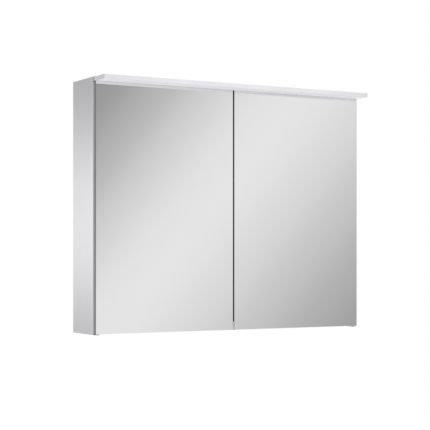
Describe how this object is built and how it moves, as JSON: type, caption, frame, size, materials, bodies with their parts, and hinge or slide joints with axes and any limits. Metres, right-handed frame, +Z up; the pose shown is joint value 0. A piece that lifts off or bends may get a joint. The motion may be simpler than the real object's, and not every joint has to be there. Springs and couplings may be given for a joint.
{
  "type": "mirror medicine cabinet",
  "caption": "Shallow wall cabinet with two handleless mirror doors on pivots, glass shelves inside and a slim light panel that overhangs the doors along its top edge.",
  "frame": {"origin": "middle of the upper rear rail's rear face, in the plane of the wall", "axes": "+X to the right seen from the front, +Y into the wall, +Z up"},
  "size_m": [0.8, 0.193, 0.65],
  "materials": {
    "carcass_laminate": "satin silver-grey metallic lacquer on board",
    "back_board": "smooth light-grey lacquered hardboard",
    "rail_board": "raw board",
    "door_frame_grey": "satin dark-grey anodised",
    "door_board": "satin light grey",
    "mirror_glass": "polished, silvered behind",
    "shelf_glass": "clear with polished edges",
    "polished_steel": "polished",
    "zinc_steel": "zinc plated",
    "dark_steel": "dark grey plated, satin",
    "black_rubber": "matt",
    "clear_buffer": "matt translucent",
    "nylon": "natural",
    "catch_plastic": "fine texture",
    "light_cover": "satin, faintly lavender white",
    "light_rail_grey": "satin grey",
    "opal_acrylic": "opal, lit from behind",
    "led_board_white": "white solder resist",
    "driver_plastic": "fine texture",
    "switch_plastic": "gloss",
    "lead_sheath": "smooth sheath"
  },
  "bodies": {
    "cabinet": {"back_panel": "back_board", "bottom_board": "carcass_laminate", "driver_box": "driver_plastic", "led_board": "led_board_white", "led_lead": "lead_sheath", "left_hanger_bracket": "zinc_steel", "left_hinge_bar": "dark_steel", "left_hinge_screw_1": "polished_steel", "left_hinge_screw_2": "polished_steel", "left_light_cap": "light_cover", "left_lower_pivot_pin": "polished_steel", "left_side_panel": "carcass_laminate", "left_upper_pivot_pin": "polished_steel", "light_diffuser": "opal_acrylic", "light_housing": "light_cover", "light_rail": "light_rail_grey", "lower_glass_shelf": "shelf_glass", "lower_rear_rail": "rail_board", "lower_shelf_pin_left_front": "polished_steel", "lower_shelf_pin_left_rear": "polished_steel", "lower_shelf_pin_right_front": "polished_steel", "lower_shelf_pin_right_rear": "polished_steel", "magnetic_catch": "catch_plastic", "mains_gland": "black_rubber", "right_hanger_bracket": "zinc_steel", "right_hinge_bar": "dark_steel", "right_hinge_screw_1": "polished_steel", "right_hinge_screw_2": "polished_steel", "right_light_cap": "light_cover", "right_lower_pivot_pin": "polished_steel", "right_side_panel": "carcass_laminate", "right_upper_pivot_pin": "polished_steel", "top_board": "carcass_laminate", "upper_glass_shelf": "shelf_glass", "upper_rear_rail": "rail_board", "upper_shelf_pin_left_front": "polished_steel", "upper_shelf_pin_left_rear": "polished_steel", "upper_shelf_pin_right_front": "polished_steel", "upper_shelf_pin_right_rear": "polished_steel"},
    "left_door": {"left_door_frame": "door_frame_grey", "left_door_mirror": "mirror_glass", "left_door_core": "door_board", "left_lower_pivot_bush": "nylon", "left_upper_pivot_bush": "nylon", "left_door_seal": "black_rubber", "left_door_buffer": "clear_buffer", "left_catch_strike": "zinc_steel"},
    "right_door": {"right_door_frame": "door_frame_grey", "right_door_mirror": "mirror_glass", "right_door_core": "door_board", "right_lower_pivot_bush": "nylon", "right_upper_pivot_bush": "nylon", "right_door_seal": "black_rubber", "right_door_buffer": "clear_buffer", "right_catch_strike": "zinc_steel"},
    "left_hook": {"left_hanger_hook": "zinc_steel"},
    "right_hook": {"right_hanger_hook": "zinc_steel"},
    "rocker": {"switch_rocker": "switch_plastic"}
  },
  "joints": [
    {"name": "left_door_hinge", "type": "hinge", "parent": "cabinet", "child": "left_door", "pos_m": [-0.395, -0.1345, -0.281], "axis": [0, 0, 1], "range_deg": [-105, 0]},
    {"name": "right_door_hinge", "type": "hinge", "parent": "cabinet", "child": "right_door", "pos_m": [0.395, -0.1345, -0.281], "axis": [0, 0, 1], "range_deg": [0, 105]},
    {"name": "left_hook_slide", "type": "slide", "parent": "cabinet", "child": "left_hook", "axis": [0, 0, 1], "range_m": [-0.006, 0.006]},
    {"name": "right_hook_slide", "type": "slide", "parent": "cabinet", "child": "right_hook", "axis": [0, 0, 1], "range_m": [-0.006, 0.006]},
    {"name": "switch_rock", "type": "hinge", "parent": "cabinet", "child": "rocker", "pos_m": [0.33, -0.063, 0.011], "axis": [1, 0, 0], "range_deg": [-6, 6]}
  ]
}
